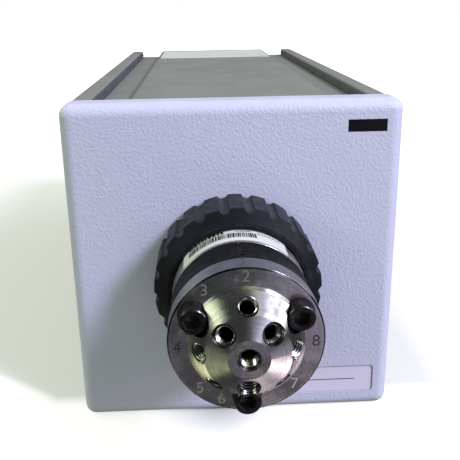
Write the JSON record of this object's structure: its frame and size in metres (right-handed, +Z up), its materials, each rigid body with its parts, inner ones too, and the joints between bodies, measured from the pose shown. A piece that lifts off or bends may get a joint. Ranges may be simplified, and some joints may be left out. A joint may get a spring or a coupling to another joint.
{
  "type": "multi-port valve with motor drive",
  "caption": "Quick-change multi-port valve: a round steel stator with coned ports, held by a fluted nut on the front of a motor drive box.",
  "frame": {"origin": "under the middle of the whole part, on the face it stands on", "axes": "+Z up, +Y backwards along the box's length, so the valve faces -Y; +X is to the right seen from the front"},
  "size_m": [0.104, 0.3038, 0.106],
  "materials": {
    "box_paint": "fine matt paint",
    "cover_plastic": "fine leather grain",
    "dark_window": "dark see-through",
    "label_film": "satin film",
    "black_plastic": "moulded",
    "board_laminate": "solder mask",
    "board_components": "moulded",
    "bright_steel": "turned",
    "black_oxide": "black oxide",
    "zinc_steel": "zinc plated",
    "bearing_steel": "ground",
    "gear_steel": "hobbed",
    "aluminium_parts": "machined",
    "motor_iron": "laminated",
    "bearing_polymer": "machined"
  },
  "bodies": {
    "drive": {"housing_shell": "box_paint", "front_cover": "cover_plastic", "status_window": "dark_window", "status_board": "board_laminate", "name_plate": "label_film", "top_label": "label_film", "rear_panel": "box_paint", "rear_screws": "zinc_steel", "power_inlet": "black_plastic", "bus_sockets": "black_plastic", "front_bulkhead": "aluminium_parts", "bulkhead_screws": "zinc_steel", "drive_collar": "aluminium_parts", "collar_screws": "zinc_steel", "gearbox_housing": "aluminium_parts", "gearbox_screws": "zinc_steel", "spindle_bearings": "bearing_steel", "ring_gear": "gear_steel", "motor_bearings": "bearing_steel", "motor_front_cap": "aluminium_parts", "motor_core": "motor_iron", "motor_rear_cap": "aluminium_parts", "motor_screws": "black_oxide", "encoder_board": "board_laminate", "encoder_cover": "black_plastic", "controller_board": "board_laminate", "board_parts": "board_components", "board_standoffs": "zinc_steel", "board_screws": "zinc_steel"},
    "spindle": {"output_spindle": "bright_steel"},
    "planet_1": {"planet_gear_1": "gear_steel"},
    "planet_2": {"planet_gear_2": "gear_steel"},
    "planet_3": {"planet_gear_3": "gear_steel"},
    "motor_rotor": {"motor_shaft": "bright_steel", "sun_gear": "gear_steel", "rotor_magnet": "motor_iron", "encoder_disc": "bearing_steel"},
    "valve_head": {"head_body": "bright_steel", "head_label": "label_film", "spring_washers": "zinc_steel", "thrust_bearing": "bearing_steel", "shaft_bush": "bearing_polymer", "stator_ring": "black_plastic", "stator": "bright_steel", "dowel_pins": "zinc_steel", "stator_screws": "black_oxide"},
    "valve_rotor": {"rotor_shaft": "bright_steel", "rotor_seal": "bearing_polymer"},
    "nut_slider": {"thrust_washer": "bearing_polymer"},
    "nut": {"union_nut": "black_plastic"}
  },
  "joints": [
    {"name": "spindle_turn", "type": "hinge", "parent": "drive", "child": "spindle", "pos_m": [0, -0.0932, 0.053], "axis": [0, -1, 0], "continuous": true},
    {"name": "motor_turn", "type": "hinge", "parent": "drive", "child": "motor_rotor", "pos_m": [0, -0.0932, 0.053], "axis": [0, -1, 0], "continuous": true},
    {"name": "planet_1_turn", "type": "hinge", "parent": "spindle", "child": "planet_1", "pos_m": [0, -0.0527, 0.0386], "axis": [0, -1, 0], "continuous": true},
    {"name": "planet_2_turn", "type": "hinge", "parent": "spindle", "child": "planet_2", "pos_m": [-0.01247, -0.0527, 0.0602], "axis": [0, -1, 0], "continuous": true},
    {"name": "planet_3_turn", "type": "hinge", "parent": "spindle", "child": "planet_3", "pos_m": [0.01247, -0.0527, 0.0602], "axis": [0, -1, 0], "continuous": true},
    {"name": "head_withdraw", "type": "slide", "parent": "drive", "child": "valve_head", "axis": [0, -1, 0], "range_m": [0, 0.045]},
    {"name": "rotor_turn", "type": "hinge", "parent": "valve_head", "child": "valve_rotor", "pos_m": [0, -0.0932, 0.053], "axis": [0, -1, 0], "continuous": true},
    {"name": "nut_advance", "type": "slide", "parent": "valve_head", "child": "nut_slider", "axis": [0, -1, 0], "range_m": [0, 0.0051]},
    {"name": "nut_turn", "type": "hinge", "parent": "nut_slider", "child": "nut", "pos_m": [0, -0.0932, 0.053], "axis": [0, -1, 0], "range_deg": [0, 900]}
  ],
  "couplings": [
    {"joint": "motor_turn", "follows": "spindle_turn", "ratio": 4},
    {"joint": "planet_1_turn", "follows": "spindle_turn", "ratio": -3},
    {"joint": "planet_2_turn", "follows": "spindle_turn", "ratio": -3},
    {"joint": "planet_3_turn", "follows": "spindle_turn", "ratio": -3},
    {"joint": "rotor_turn", "follows": "spindle_turn", "ratio": 1},
    {"joint": "nut_advance", "follows": "nut_turn", "m_per_rad": 0.00031831}
  ]
}
